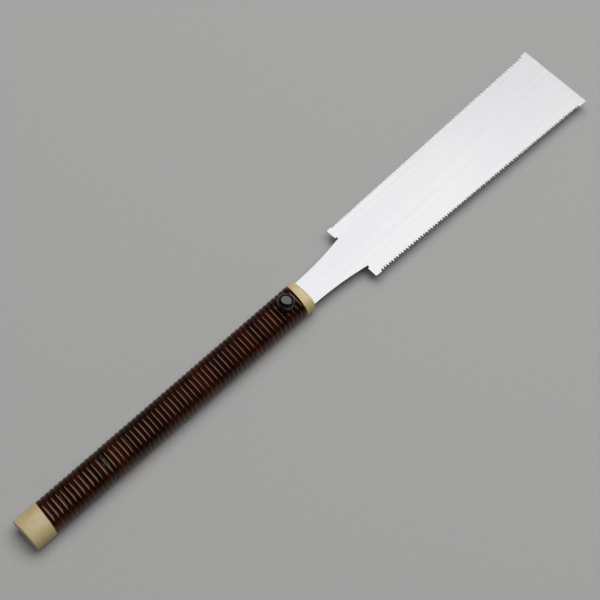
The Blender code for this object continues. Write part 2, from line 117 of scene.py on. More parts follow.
# Details that only the looks have
SECTION_STEPS = 192
ROUND_STEPS = 128
TOOTH_SET = 0.00014  # how far the teeth lean out of the blade's plane, up and down in turn
CROSSCUT_BEVEL = 0.00027  # mean width of the ground facet on a cross-cut tooth
RIP_BEVEL = 0.00010  # and on a rip tooth
CORNER_RADIUS = 0.0007  # rounding of the blade's four corners
CORNER_STEPS = 5
SLOT_STEPS = 24
BRUSHING = "brushing"  # the blade's map, whose first axis crosses the brush marks
DOME_EXPONENT = 3.1  # the knob is a little squarer at the shoulder than the CAD's
THREAD_PITCH = 0.0008
THREAD_DEPTH = 0.00042

# The cane winding
CANE_PITCH = 0.004735
CANE_FIRST = 0.02475  # where the first whole turn crosses the middle of the top
CANE_STRAY = 0.00011  # how far a turn strays along the handle
CANE_WIDTH = 0.00455
CANE_WIDEN = 0.00006  # how far half the width changes
CANE_THICKNESS = 0.0015
CANE_SINK = 0.00004  # how far the ridge sinks, on average and each way
CANE_SLOPE = 0.40  # slope of the cane's two flanks
CANE_RIDGE = 0.00019  # roundness of the ridge between them
RIDGE_LEAST = 0.15  # least roundness of the ridge, as a share of CANE_RIDGE
RIDGE_CHANGE = 0.4  # how far the ridge's roundness changes along the cane
RIDGE_TAPER = 1.4  # how much blunter the ridge is on the +Y side than on the -Y side
CANE_EDGE = 0.00016  # how far the edges round down below the flanks
EDGE_POWER = 12  # how late they begin to
CROWN_LEAST = 0.0002  # least height of the crown above the cane's inner side
CANE_STEPS = 80  # sections in one turn
CANE_ACROSS = 16  # faces across the crown
CANE_NARROW = 0.0005  # the winding stops where less than this is left of its width
KNOB_HOLE = FLANGE_RADIUS + GAP  # radius of the hole through the winding below the knob
SPLICE_TURN = 13  # the turn where one length of cane ends and the next begins
SPLICE_REACH = 1 / 2.3  # turns from its middle to its ends
SPLICE_POWER = 6  # how sharply it ends
SPLICE_SINK = 0.00012  # how far it lies below the other turns
SPLICE_PITS = 0.0005  # depth of the deepest pits in its surface
PIT_FACES = 3  # faces across one pit

HALF_LENGTH = (cad_high.x - cad_low.x) / 2
MIDDLE = HANDLE_THICKNESS / 2
KNOB_X = KNOB_PLACE - HALF_LENGTH


def along(distance):
    return distance - HALF_LENGTH


# Mesh tools


def mesh_object(name, points, faces, finish, sharp=35):
    mesh = bpy.data.meshes.new(name)
    mesh.from_pydata(points, [], faces)
    mesh.validate()
    work = bmesh.new()
    work.from_mesh(mesh)
    bmesh.ops.recalc_face_normals(work, faces=work.faces)
    work.to_mesh(mesh)
    work.free()
    mesh.shade_smooth()
    mesh.set_sharp_from_angle(angle=math.radians(sharp))
    mesh.materials.append(finish)
    made = bpy.data.objects.new(name, mesh)
    bpy.context.scene.collection.objects.link(made)
    return made


def skin(rings, closed=False):
    """Points and faces of a skin over rings of equally many points, with flat ends unless it is closed."""
    count = len(rings[0])
    points = [point for circle in rings for point in circle]
    faces = []
    pairs = [(i, i + 1) for i in range(len(rings) - 1)]
    if closed:
        pairs.append((len(rings) - 1, 0))
    for i, j in pairs:
        for k in range(count):
            after = (k + 1) % count
            faces.append((i * count + k, i * count + after, j * count + after, j * count + k))
    if not closed:
        faces.append(tuple(range(count - 1, -1, -1)))
        faces.append(tuple((len(rings) - 1) * count + k for k in range(count)))
    return points, faces


def turned(name, profile, finish, closed=False):
    """A solid turned about the knob's axis from (radius, height) points."""
    rings = []
    for radius, height in profile:
        circle = []
        for k in range(ROUND_STEPS):
            turn = 2 * math.pi * k / ROUND_STEPS
            circle.append((KNOB_X + radius * math.cos(turn), radius * math.sin(turn), MIDDLE + height))
        rings.append(circle)
    points, faces = skin(rings, closed=closed)
    return mesh_object(name, points, faces, finish)


def rounded(corner, radius, towards_in, towards_out):
    """Points round a profile's corner, between two unit directions that leave it."""
    steps = 5
    points = []
    for i in range(steps + 1):
        angle = math.pi / 2 * i / steps
        a = radius * (1 - math.sin(angle))
        b = radius * (1 - math.cos(angle))
        x = corner[0] + towards_in[0] * a + towards_out[0] * b
        y = corner[1] + towards_in[1] * a + towards_out[1] * b
        points.append((x, y))
    return points


def squared(cosine, exponent):
    """A circle's cosine or sine, bent so that the circle becomes a superellipse."""
    return math.copysign(abs(cosine) ** (2 / exponent), cosine)


def oval(width, thickness, count, exponent=OVAL_EXPONENT):
    """(y, z, normal y, normal z) evenly round a superellipse, from the middle of its top towards +Y."""
    fine = 4096
    a, b = width / 2, thickness / 2
    dense = []
    for i in range(fine + 1):
        angle = 2 * math.pi * i / fine
        dense.append((a * squared(math.sin(angle), exponent), b * squared(math.cos(angle), exponent)))
    runs = [0.0]
    for before, after in zip(dense, dense[1:]):
        runs.append(runs[-1] + math.dist(before, after))
    section = []
    i = 0
    for k in range(count):
        run = runs[-1] * k / count
        while runs[i + 1] < run:
            i += 1
        share = (run - runs[i]) / (runs[i + 1] - runs[i])
        y = dense[i][0] + (dense[i + 1][0] - dense[i][0]) * share
        z = dense[i][1] + (dense[i + 1][1] - dense[i][1]) * share
        slope_y = squared(y / a, 2 / (exponent - 1)) / a
        slope_z = squared(z / b, 2 / (exponent - 1)) / b
        size = math.hypot(slope_y, slope_z)
        section.append((y, z, slope_y / size, slope_z / size))
    return section


HANDLE_OVAL = oval(HANDLE_WIDTH, HANDLE_THICKNESS, SECTION_STEPS)
SOCKET_OVAL = oval(TENON_WIDTH + 2 * GAP, TENON_THICKNESS + 2 * GAP, SECTION_STEPS)


def ring(section, distance, inset=0.0, lean=0.0):
    """A section of the handle at a distance from the butt, shrunk by an inset and leaning with the joints."""
    points = []
    for y, z, ny, nz in section:
        points.append((along(distance + lean * y), y - ny * inset, MIDDLE + z - nz * inset))
    return points


def shrunk(section, share):
    """The same section at this share of its size."""
    return [(y * share, z * share, ny, nz) for y, z, ny, nz in section]


def rim(section, distance, radius, side, lean=0.0):
    """The rings of a rounded rim, from the side of the handle to its end face. The face is towards side."""
    steps = 8
    rings = []
    for i in range(steps + 1):
        angle = math.pi / 2 * i / steps
        back = side * radius * (1 - math.sin(angle))
        rings.append(ring(section, distance - back, radius * (1 - math.cos(angle)), lean))
    return rings


# Materials


class Recipe:
    """A material and its nodes. Object coordinates are metres in the CAD's frame."""

    def __init__(self, name, metallic=0.0):
        self.material = bpy.data.materials.new(name)
        self.material.use_nodes = True
        self.tree = self.material.node_tree
        self.shader = self.tree.nodes["Principled BSDF"]
        self.set("Metallic", metallic)
        self.place = self.tree.nodes.new("ShaderNodeTexCoord").outputs["Object"]

    def set(self, socket, value):
        self.shader.inputs[socket].default_value = value

    def join(self, output, target):
        self.tree.links.new(output, target)

    def into(self, output, socket):
        self.join(output, self.shader.inputs[socket])

    def mapped(self, scale, source=None):
        node = self.tree.nodes.new("ShaderNodeMapping")
        node.inputs["Scale"].default_value = scale
        self.join(source or self.place, node.inputs["Vector"])
        return node.outputs["Vector"]

    def noise(self, scale, detail=2.0, source=None, distortion=0.0):
        """Noise from 0 to 1, with this many features a metre along each axis."""
        node = self.tree.nodes.new("ShaderNodeTexNoise")
        node.inputs["Scale"].default_value = 1.0
        node.inputs["Detail"].default_value = detail
        node.inputs["Distortion"].default_value = distortion
        self.join(self.mapped(scale, source), node.inputs["Vector"])
        return node.outputs["Fac"]

    def value(self, name):
        """A number stored on the piece's points."""
        node = self.tree.nodes.new("ShaderNodeAttribute")
        node.attribute_name = name
        return node.outputs["Fac"]

    def combined(self, x, y, z):
        node = self.tree.nodes.new("ShaderNodeCombineXYZ")
        for output, target in zip((x, y, z), node.inputs):
            if output is not None:
                self.join(output, target)
        return node.outputs["Vector"]

    def split(self):
        node = self.tree.nodes.new("ShaderNodeSeparateXYZ")
        self.join(self.place, node.inputs["Vector"])
        return node.outputs

    def ramp(self, value, *stops):
        """A colour for a value, from (place, colour) stops."""
        node = self.tree.nodes.new("ShaderNodeValToRGB")
        elements = node.color_ramp.elements
        while len(elements) < len(stops):
            elements.new(0.5)
        for element, (place, colour) in zip(elements, stops):
            element.position = place
            element.color = (*colour, 1.0)
        self.join(value, node.inputs["Fac"])
        return node.outputs["Color"]

    def spread(self, value, low, high, start=0.0, end=1.0):
        """The value's range from start to end, spread over low to high."""
        node = self.tree.nodes.new("ShaderNodeMapRange")
        for name, number in (("From Min", start), ("From Max", end), ("To Min", low), ("To Max", high)):
            node.inputs[name].default_value = number
        self.join(value, node.inputs["Value"])
        return node.outputs["Result"]

    def math(self, operation, a, b=None):
        node = self.tree.nodes.new("ShaderNodeMath")
        node.operation = operation
        for source, target in zip((a, b), node.inputs):
            if isinstance(source, (int, float)):
                target.default_value = source
            elif source is not None:
                self.join(source, target)
        return node.outputs["Value"]

    def mix(self, share, first, second, blend="MIX"):
        node = self.tree.nodes.new("ShaderNodeMix")
        node.data_type = "RGBA"
        node.blend_type = blend
        if isinstance(share, (int, float)):
            node.inputs[0].default_value = share
        else:
            self.join(share, node.inputs[0])
        for source, target in ((first, node.inputs[6]), (second, node.inputs[7])):
            if isinstance(source, tuple):
                target.default_value = (*source, 1.0)
            else:
                self.join(source, target)
        return node.outputs[2]

    def bump(self, height, depth):
        """Relief as deep as this in metres."""
        node = self.tree.nodes.new("ShaderNodeBump")
        node.inputs["Strength"].default_value = 1.0
        node.inputs["Distance"].default_value = depth
        self.join(height, node.inputs["Height"])
        self.into(node.outputs["Normal"], "Normal")


def ivory_resin(name, lightness):
    made = Recipe(name)
    blotches = made.noise((70, 90, 90), 3)
    fibres = made.noise((90, 1700, 1700), 2)
    # Lightness scales the resin's colour; above 1 it makes a lighter, lit copy of the resin, a painted
    # highlight
    dark = tuple(lightness * part for part in (0.46, 0.356, 0.170))
    light = tuple(lightness * part for part in (0.50, 0.404, 0.210))
    base = made.ramp(blotches, (0.3, dark), (0.7, light))
    grain = made.ramp(fibres, (0.35, (0.95, 0.945, 0.93)), (0.6, (1.0, 1.0, 1.0)))
    made.into(made.mix(1.0, base, grain, "MULTIPLY"), "Base Color")
    made.into(made.spread(fibres, 0.34, 0.46), "Roughness")
    made.set("IOR", 1.5)
    made.set("Coat Weight", 0.25)
    made.set("Coat Roughness", 0.22)
    made.bump(fibres, 0.000012)
    return made.material


def lacquered_cane():
    made = Recipe("lacquered_cane_strip")
    run, across = made.value("run"), made.value("across")
    tone, splice = made.value("tone"), made.value("splice")
    strand = made.combined(run, across, tone)
    fibres = made.noise((30, 7, 40), 3, strand)
    wear = made.noise((120, 2, 9), 2, strand)
    body = made.ramp(
        made.math("ADD", made.math("MULTIPLY", tone, 0.7), made.math("MULTIPLY", wear, 0.3)),
        (0.15, (0.008, 0.0009, 0.0002)),
        (0.5, (0.015, 0.0021, 0.0004)),
        (0.85, (0.031, 0.0048, 0.0010)),
    )
    streaks = made.ramp(fibres, (0.35, (0.55, 0.5, 0.5)), (0.65, (1.25, 1.2, 1.15)))
    body = made.mix(1.0, body, streaks, "MULTIPLY")
    rough_patch = made.noise((900, 900, 900), 3)
    scorched = made.ramp(rough_patch, (0.4, (0.001, 0.0016, 0.0008)), (0.7, (0.007, 0.009, 0.005)))
    made.into(made.mix(splice, body, scorched), "Base Color")
    smooth = made.spread(fibres, 0.09, 0.16)
    made.into(made.math("ADD", smooth, made.math("MULTIPLY", splice, 0.04)), "Roughness")
    made.set("IOR", 1.64)
    made.set("Specular Tint", (1.0, 0.66, 0.50, 1.0))
    relief = made.math("ADD", made.math("MULTIPLY", fibres, 0.12), made.math("MULTIPLY", rough_patch, splice))
    made.bump(relief, 0.00012)
    return made.material


def core_wood():
    """Pale straight-grained wood, soaked dark where the lacquer has reached its outside."""
    made = Recipe("core_wood_grain")
    rings = made.noise((12, 420, 420), 3, distortion=0.6)
    pores = made.noise((160, 4000, 4000), 1)
    pale = made.ramp(rings, (0.3, (0.36, 0.22, 0.11)), (0.55, (0.55, 0.38, 0.22)), (0.75, (0.62, 0.45, 0.27)))
    pale = made.mix(1.0, pale, made.ramp(pores, (0.3, (0.7, 0.66, 0.6)), (0.5, (1, 1, 1))), "MULTIPLY")
    x, y, z = made.split()
    wide = made.math("POWER", made.math("ABSOLUTE", made.math("DIVIDE", y, HANDLE_WIDTH / 2)), OVAL_EXPONENT)
    high = made.math("ABSOLUTE", made.math("DIVIDE", made.math("SUBTRACT", z, MIDDLE), MIDDLE))
    reach = made.math("ADD", wide, made.math("POWER", high, OVAL_EXPONENT))
    soaked = made.spread(reach, 0.0, 1.0, 0.58, 0.66)
    made.into(made.mix(soaked, pale, (0.012, 0.005, 0.003)), "Base Color")
    made.into(made.spread(soaked, 0.62, 0.45), "Roughness")
    made.bump(pores, 0.00005)
    return made.material


def brushed_steel():
    made = Recipe("blade_steel_brushed", metallic=1.0)
    lines = made.noise((4, 2300, 300), 3)
    fine = made.noise((20, 9000, 900), 1)
    clouds = made.noise((9, 22, 22), 2)
    both = made.math("ADD", made.math("MULTIPLY", lines, 0.65), made.math("MULTIPLY", fine, 0.35))
    base = made.ramp(both, (0.25, (0.432, 0.433, 0.438)), (0.7, (0.577, 0.578, 0.583)))
    tint = made.ramp(clouds, (0.3, (0.95, 0.955, 0.98)), (0.7, (1.0, 1.0, 1.0)))
    made.into(made.mix(1.0, base, tint, "MULTIPLY"), "Base Color")
    made.into(made.spread(both, 0.38, 0.52), "Roughness")
    made.set("Anisotropic", 0.45)
    tangent = made.tree.nodes.new("ShaderNodeTangent")
    tangent.direction_type = "UV_MAP"
    tangent.uv_map = BRUSHING
    made.into(tangent.outputs["Tangent"], "Tangent")
    made.bump(both, 0.000012)
    return made.material


def zinc_steel():
    made = Recipe("zinc_steel_plated", metallic=1.0)
    patches = made.noise((260, 260, 260), 3)
    colour = made.ramp(
        patches, (0.3, (0.50, 0.49, 0.44)), (0.5, (0.60, 0.60, 0.58)), (0.7, (0.56, 0.58, 0.63))
    )
    made.into(colour, "Base Color")
    made.into(made.spread(made.noise((1400, 1400, 1400), 2), 0.26, 0.44), "Roughness")
    made.bump(patches, 0.00002)
    return made.material


def turned_brass():
    made = Recipe("brass_turned", metallic=1.0)
    x, y, z = made.split()
    off_axis = made.math("SUBTRACT", x, KNOB_X)
    square = made.math("ADD", made.math("MULTIPLY", off_axis, off_axis), made.math("MULTIPLY", y, y))
    reach = made.math("SQRT", square)
    rings = made.noise((9000, 0, 5000), 2, made.combined(reach, None, z))
    tarnish = made.noise((420, 420, 420), 3)
    colour = made.ramp(
        tarnish, (0.3, (0.42, 0.28, 0.11)), (0.6, (0.70, 0.52, 0.24)), (0.8, (0.78, 0.60, 0.30))
    )
    made.into(colour, "Base Color")
    made.into(made.spread(rings, 0.2, 0.42), "Roughness")
    made.bump(rings, 0.00002)
    return made.material


def black_resin():
    made = Recipe("black_resin_polished")
    haze = made.noise((500, 500, 500), 3)
    specks = made.noise((2600, 2600, 2600), 2)
    made.into(made.ramp(haze, (0.3, (0.0012, 0.0013, 0.0013)), (0.7, (0.003, 0.0031, 0.0032))), "Base Color")
    made.into(made.spread(specks, 0.12, 0.19), "Roughness")
    made.set("IOR", 1.56)
    made.bump(haze, 0.00001)
    return made.material


# Handle


def butt_cap(finish):
    """The cap, from the middle of its end face, over its outside and into its socket."""
    rings = [ring(shrunk(HANDLE_OVAL, share), 0) for share in (0.3, 0.6)]
    rings += rim(HANDLE_OVAL, 0, CAP_ROUNDING, -1)[::-1]
    rings.append(ring(HANDLE_OVAL, CAP_LENGTH / 2, 0, JOINT_LEAN / 2))
    rings += rim(HANDLE_OVAL, CAP_LENGTH, GAP, 1, JOINT_LEAN)
    rings.append(ring(SOCKET_OVAL, CAP_LENGTH, 0, JOINT_LEAN))
    rings.append(ring(SOCKET_OVAL, CAP_FLOOR))
    rings.append(ring(shrunk(SOCKET_OVAL, 0.4), CAP_FLOOR))
    points, faces = skin(rings)
    cap = mesh_object("butt_cap_moulded", points, faces, finish)
    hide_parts("butt_cap")
    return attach(cap, "handle")


def ferrule(finish):
    """The ferrule, from its joint with the cane, over its outside, through the mouth and into its socket."""
    inside = FERRULE_FRONT - FERRULE_WALL
    mouth = oval(NECK_WIDTH + 2 * GAP, BLADE_THICKNESS + 2 * GAP, SECTION_STEPS, exponent=12)
    rings = rim(HANDLE_OVAL, FERRULE_BACK, GAP, -1, JOINT_LEAN)[::-1]
    rings += rim(HANDLE_OVAL, FERRULE_FRONT, FERRULE_ROUNDING, 1)
    rings += [ring(mouth, FERRULE_FRONT), ring(mouth, inside)]
    rings += [ring(SOCKET_OVAL, inside), ring(SOCKET_OVAL, FERRULE_BACK, 0, JOINT_LEAN)]
    points, faces = skin(rings, closed=True)
    made = mesh_object("ferrule_moulded", points, faces, finish)
    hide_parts("ferrule")
    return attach(made, "handle")


def beside_knob(low, high, y):
    """What the knob's hole leaves of a stretch along the top of the handle, which is its wider part."""
    if abs(y) >= KNOB_HOLE:
        return low, high
    reach = math.sqrt(KNOB_HOLE**2 - y**2)
    behind = (low, min(high, KNOB_PLACE - reach))
    ahead = (max(low, KNOB_PLACE + reach), high)
    return max(behind, ahead, key=lambda edges: edges[1] - edges[0])


def smooth_random(seed, count, period):
    """A random value from -1 to 1 at each of count steps, smooth over a period of steps."""
    rng = random.Random(seed)
    knots = [rng.uniform(-1, 1) for _ in range(count // period + 3)]
    values = []
    for i in range(count):
        knot, share = divmod(i / period, 1)
        ease = (1 - math.cos(math.pi * share)) / 2
        values.append(knots[int(knot)] * (1 - ease) + knots[int(knot) + 1] * ease)
    return values


def cane_stretches():
    """The stretches of the winding between the cap, the knob's hole and the ferrule.

    Each is a list of sections: (step, place on the oval, middle, half width, low edge, high edge). Step 0 is
    one turn before CANE_FIRST, where the cap still takes the whole width.
    """
    turns = (FERRULE_BACK - CAP_LENGTH) / CANE_PITCH + 2
    count = int(turns * CANE_STEPS)
    stray = smooth_random(3, count, CANE_STEPS // 2)
    widen = smooth_random(5, count, CANE_STEPS // 3)
    section = oval(HANDLE_WIDTH, HANDLE_THICKNESS, CANE_STEPS)
    stretches = [[]]
    for step in range(count):
        place = section[step % CANE_STEPS]
        y, z = place[:2]
        middle = CANE_FIRST + CANE_PITCH * (step / CANE_STEPS - 1) + CANE_STRAY * stray[step]
        half = CANE_WIDTH / 2 + CANE_WIDEN * widen[step]
        low = max(middle - half, CAP_LENGTH + GAP / 2 + JOINT_LEAN * y)
        high = min(middle + half, FERRULE_BACK - GAP / 2 + JOINT_LEAN * y)
        if z > 0:
            low, high = beside_knob(low, high, y)
        if high - low > CANE_NARROW:
            stretches[-1].append((step, place, middle, half, low, high))
        elif stretches[-1]:
            stretches.append([])
    return [stretch for stretch in stretches if len(stretch) > 2]


def cane_crown(low, high, middle, half, top, ridge, pits):
    """The cane's cross-section, as (distance from the butt, height, place across it from -1 to 1)."""
    crown = []
    for k in range(CANE_ACROSS + 1):
        distance = low + (high - low) * k / CANE_ACROSS
        across = (distance - middle) / half
        flank = math.hypot(ridge, CANE_SLOPE * across * half) - ridge
        height = top - flank - CANE_EDGE * abs(across) ** EDGE_POWER - pits[k // PIT_FACES]
        crown.append((distance, max(height, CROWN_LEAST), across))
    return crown + [(high, 0, 1.0), (low, 0, -1.0)]


def cane_winding(finish):
    """A strip of half-round cane wound from the cap to the ferrule, cut where the knob's hole crosses it."""
    stretches = cane_stretches()
    count = stretches[-1][-1][0] + 1
    sink = smooth_random(7, count, CANE_STEPS // 2)
    tone = smooth_random(11, count, CANE_STEPS)
    bluntness = smooth_random(17, count, CANE_STEPS * 2 // 3)
    rough = random.Random(13)
    run_step = math.pi * (HANDLE_WIDTH + HANDLE_THICKNESS) / 2 / CANE_STEPS
    points, faces, values = [], [], []
    for stretch in stretches:
        rings = []
        for step, (y, z, ny, nz), middle, half, low, high in stretch:
            turn = step / CANE_STEPS - 1
            splice = max(0.0, 1 - (abs(turn - SPLICE_TURN) / SPLICE_REACH) ** SPLICE_POWER)
            top = CANE_THICKNESS - CANE_SINK * (1 + sink[step]) - SPLICE_SINK * splice
            blunt = 1 + RIDGE_CHANGE * bluntness[step] + RIDGE_TAPER * y / HANDLE_WIDTH
            ridge = CANE_RIDGE * max(RIDGE_LEAST, blunt)
            pits = [splice * rough.uniform(0, SPLICE_PITS) for _ in range(CANE_ACROSS // PIT_FACES + 1)]
            placed = []
            for distance, height, across in cane_crown(low, high, middle, half, top, ridge, pits):
                out = height - CANE_THICKNESS
                placed.append((along(distance), y + ny * out, MIDDLE + z + nz * out))
                values.append((step * run_step, across, 0.5 + 0.5 * tone[step], splice))
            rings.append(placed)
        more_points, more_faces = skin(rings)
        faces += [tuple(len(points) + corner for corner in face) for face in more_faces]
        points += more_points
    winding = mesh_object("cane_winding", points, faces, finish, sharp=60)
    for column, name in enumerate(("run", "across", "tone", "splice")):
        layer = winding.data.attributes.new(name, "FLOAT", "POINT")
        layer.data.foreach_set("value", [value[column] for value in values])
    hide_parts("cane_wrap")
    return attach(winding, "handle")


# Blade


def arc(centre, radius, start, end, steps):
    """Points from one angle to another, in degrees from +X towards +Y."""
    points = []
    for i in range(steps + 1):
        angle = math.radians(start + (end - start) * i / steps)
        points.append((centre[0] + radius * math.cos(angle), centre[1] + radius * math.sin(angle)))
    return points


def crosscut_marks(length):
    """The even teeth's points and gullets, as (place along the edge, depth)."""
    first, last = CROSSCUT_FLATS
    count = round((length - first - last) / CROSSCUT_PITCH)
    pitch = (length - first - last) / count
    marks = [(first, 0)]
    for i in range(count):
        marks.append((first + (i + 0.5) * pitch, CROSSCUT_DEPTH))
        marks.append((first + (i + 1) * pitch, 0))
    return marks


def rip_marks(length):
    """The same for teeth that grow towards the tip and lean towards the handle."""
    first, last = RIP_FLATS
    place = first
    marks = [(place, 0)]
    while place < length - last:
        pitch = RIP_PITCH_HEEL + (RIP_PITCH_TIP - RIP_PITCH_HEEL) * place / length
        marks.append((place + RIP_GULLET_PLACE * pitch, RIP_DEPTH_PER_PITCH * pitch))
        place += pitch
        marks.append((place, 0))
    return marks


def toothed_edge(side, marks, bevel):
    """The edge's corners from the heel to the tip, each (upper point, lower point, is it a tooth's point)."""
    heel = Vector((along(HEEL), side * HEEL_WIDTH / 2))
    tip = Vector((HALF_LENGTH, side * TIP_WIDTH / 2))
    length = (tip - heel).length
    run = (tip - heel) / length
    inward = Vector((side * run.y, -side * run.x))
    places = marks(length)
    corners = [(heel + run * CORNER_RADIUS, 0, False)]
    for i, (distance, depth) in enumerate(places):
        is_point = depth == 0 and 0 < i < len(places) - 1
        corners.append((heel + run * distance + inward * depth, i // 2, is_point))
    corners.append((tip - run * CORNER_RADIUS, 0, False))
    half = BLADE_THICKNESS / 2
    made = []
    for place, number, is_point in corners:
        ground = place + inward * 2 * bevel if is_point else place
        leans_up = number % 2 == 0
        set_by = (TOOTH_SET if leans_up else -TOOTH_SET) if is_point else 0
        upper, lower = (ground, place) if leans_up else (place, ground)
        made.append(
            ((upper.x, upper.y, MIDDLE + half + set_by), (lower.x, lower.y, MIDDLE - half + set_by), is_point)
        )
    return made


def plain_edge(points):
    """Corners as toothed_edge gives them, for an outline without teeth."""
    half = BLADE_THICKNESS / 2
    return [((x, y, MIDDLE + half), (x, y, MIDDLE - half), False) for x, y in points]


def neck_edge(side):
    """The edge's outline from the tang's end to the heel's corner: shoulder, flare, notch and corner."""
    tang, neck = TANG_WIDTH / 2, NECK_WIDTH / 2
    points = [(TANG_END, tang)]
    shoulder_steps, flare_steps, notch_steps = 16, 40, 24
    for i in range(shoulder_steps + 1):
        share = i / shoulder_steps
        rise = (1 - math.cos(math.pi * share)) / 2
        points.append((TANG_SHOULDER + TANG_SHOULDER_LENGTH * share, tang + (neck - tang) * rise))
    for i in range(flare_steps + 1):
        run = (HEEL - NECK_START) * i / flare_steps
        flare = NECK_FLARE_RADIUS - math.sqrt(NECK_FLARE_RADIUS**2 - run**2)
        points.append((NECK_START + run, neck + flare))
    points += arc(NOTCH_PLACE, NOTCH_RADIUS, *NOTCH_SPAN, notch_steps)
    corner = (HEEL + CORNER_RADIUS, HEEL_WIDTH / 2 - CORNER_RADIUS)
    points += arc(corner, CORNER_RADIUS, 180, 100, CORNER_STEPS)  # not to 90, because the edge slants
    return [(along(x), side * y) for x, y in points]


def saw_blade(finish):
    """The blade with its teeth set and ground in turn, as a plate whose two sides differ at the teeth."""
    half_slot = TANG_SLOT_WIDTH / 2
    slot = [(along(TANG_END), half_slot)]
    slot += arc((KNOB_X, 0), half_slot, 90, -90, SLOT_STEPS)
    slot.append((along(TANG_END), -half_slot))
    tip = TIP_WIDTH / 2 - CORNER_RADIUS
    lower_corner = arc((HALF_LENGTH - CORNER_RADIUS, -tip), CORNER_RADIUS, -85, 0, CORNER_STEPS)
    upper_corner = arc((HALF_LENGTH - CORNER_RADIUS, tip), CORNER_RADIUS, 0, 85, CORNER_STEPS)
    corners = plain_edge(neck_edge(-1)) + toothed_edge(-1, crosscut_marks, CROSSCUT_BEVEL)
    corners += plain_edge(lower_corner + upper_corner)
    corners += (plain_edge(neck_edge(1)) + toothed_edge(1, rip_marks, RIP_BEVEL))[::-1]
    corners += plain_edge(slot)
    count = len(corners)
    points = [upper for upper, lower, is_point in corners] + [lower for upper, lower, is_point in corners]
    plate = [i for i in range(count) if not corners[i][2]]
    faces = [tuple(plate), tuple(count + i for i in reversed(plate))]
    for i, (upper, lower, is_point) in enumerate(corners):
        after = (i + 1) % count
        faces.append((i, count + i, count + after, after))
        if is_point:
            before = i - 1
            faces.append((before, i, after))
            faces.append((count + after, count + i, count + before))
    blade = mesh_object("saw_blade_ground", points, faces, finish, sharp=3)
    layer = blade.data.uv_layers.new(name=BRUSHING)
    for loop in blade.data.loops:
        place = blade.data.vertices[loop.vertex_index].co
        # The height keeps the map open on the blade's thin walls
        layer.data[loop.index].uv = (place.y + place.z / 3, place.x + place.z)
    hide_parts("saw_blade")
    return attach(blade, "blade")


# Clamp


def clamp_knob(finish):
    """The knob, from the top of its dome, over the skirt and into the stud's blind hole."""
    waist = KNOB_BASE + KNOB_SKIRT
    profile = []
    dome_steps, skirt_steps = 40, 10
    for i in range(1, dome_steps + 1):
        angle = math.pi / 2 * i / dome_steps
        radius = KNOB_RADIUS * squared(math.sin(angle), DOME_EXPONENT)
        profile.append((radius, waist + KNOB_DOME * squared(max(math.cos(angle), 0), DOME_EXPONENT)))
    for i in range(1, skirt_steps + 1):
        angle = math.pi / 2 * i / skirt_steps
        radius = KNOB_BASE_RADIUS + (KNOB_RADIUS - KNOB_BASE_RADIUS) * math.cos(angle)
        profile.append((radius, waist - KNOB_SKIRT * math.sin(angle)))
    bore = STUD_RADIUS + GAP
    profile += [(bore, KNOB_BASE), (bore, STUD_TOP + GAP)]
    knob = turned("clamp_knob_polished", profile, finish)
    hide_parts("clamp_knob")
    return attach(knob, "clamp_screw")


def washer(finish):
    edge = 0.00025
    bore = STUD_RADIUS + GAP
    top = WASHER_BASE + WASHER_THICKNESS
    profile = [(bore, top)]
    profile += rounded((WASHER_RADIUS, top), edge, (-1, 0), (0, -1))
    profile += rounded((WASHER_RADIUS, WASHER_BASE), edge, (0, 1), (-1, 0))
    profile.append((bore, WASHER_BASE))
    made = turned("clamp_washer_turned", profile, finish, closed=True)
    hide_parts("clamp_washer")
    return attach(made, "clamp_lift")


def knob_bush(finish):
    edge = 0.0004
    bore = STUD_RADIUS + GAP
    top = FLANGE_BASE + FLANGE_THICKNESS
    profile = [(bore + edge / 2, top)]
    profile += rounded((FLANGE_RADIUS, top), edge, (-1, 0), (0, -1))
    profile += [(FLANGE_RADIUS, FLANGE_BASE), (BUSH_RADIUS, FLANGE_BASE), (BUSH_RADIUS, BUSH_BOTTOM)]
    profile += [(bore, BUSH_BOTTOM), (bore, top - edge / 2)]
    made = turned("knob_bush_turned", profile, finish, closed=True)
    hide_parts("knob_bush")
    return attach(made, "handle")


def threaded_stud(finish):
    """A stud whose radius follows a helix, so that its thread is real."""
    steps_round, steps_pitch = 48, 10
    length = STUD_TOP - STUD_BOTTOM
    count = round(length / THREAD_PITCH * steps_pitch)
    rings = []
    for i in range(count + 1):
        height = STUD_BOTTOM + length * i / count
        from_end = min(height - STUD_BOTTOM, STUD_TOP - height)
        limit = STUD_RADIUS - max(0, STUD_CHAMFER - from_end)
        ring_points = []
        for k in range(steps_round):
            share = (height / THREAD_PITCH - k / steps_round) % 1
            depth = THREAD_DEPTH * abs(2 * share - 1)
            radius = min(STUD_RADIUS - depth, limit)
            turn = 2 * math.pi * k / steps_round
            ring_points.append((KNOB_X + radius * math.cos(turn), radius * math.sin(turn), MIDDLE + height))
        rings.append(ring_points)
    points, faces = skin(rings)
    stud = mesh_object("clamp_stud_threaded", points, faces, finish)
    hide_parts("clamp_stud")
    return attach(stud, "clamp_screw")


# Scene


def pointed_at(obj, target):
    obj.rotation_euler = (target - obj.location).to_track_quat("-Z", "Y").to_euler()


def seen_from(azimuth, elevation):
    """The direction from the saw to a viewer at these angles, in degrees."""
    turn, rise = math.radians(azimuth), math.radians(elevation)
    return Vector((math.sin(turn) * math.cos(rise), -math.cos(turn) * math.cos(rise), math.sin(rise)))


def camera():
    made = bpy.data.objects.new("camera", bpy.data.cameras.new("camera"))
    made.data.lens = 93
    made.data.sensor_width = 36
    target = Vector((-0.0129, -0.0015, MIDDLE))
    distance = 1.356
    made.location = target + seen_from(-44, 64) * distance
    pointed_at(made, target)
    bpy.context.scene.collection.objects.link(made)
    bpy.context.scene.camera = made


